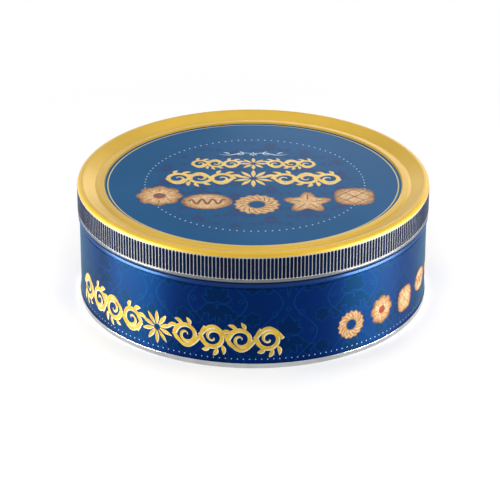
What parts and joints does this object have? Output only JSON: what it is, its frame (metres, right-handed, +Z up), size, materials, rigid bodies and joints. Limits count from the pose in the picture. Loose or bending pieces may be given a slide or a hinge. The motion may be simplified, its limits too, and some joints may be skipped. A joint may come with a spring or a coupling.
{
  "type": "round tin",
  "caption": "Round pressed tinplate tin with a lift-off stepped lid, for biscuits or other dry goods.",
  "frame": {"origin": "centre of the foot ring, on the surface that the tin stands on", "axes": "+Z up along the tin's axis, -Y towards the front of the print, side seam at +Y"},
  "size_m": [0.19, 0.19, 0.0659],
  "materials": {
    "lid_tinplate": "varnished print over tinplate, gold rim, blue panel, bare curl",
    "wall_tinplate": "varnished blue print over tinplate, bare inside",
    "base_tinplate": "bare bright tinplate"
  },
  "bodies": {
    "can": {"body_wall": "wall_tinplate", "base_plate": "base_tinplate"},
    "lid": {"lid": "lid_tinplate"}
  },
  "joints": [
    {"name": "lid_lift", "type": "slide", "parent": "can", "child": "lid", "axis": [0, 0, 1], "range_m": [0, 0.1]}
  ]
}
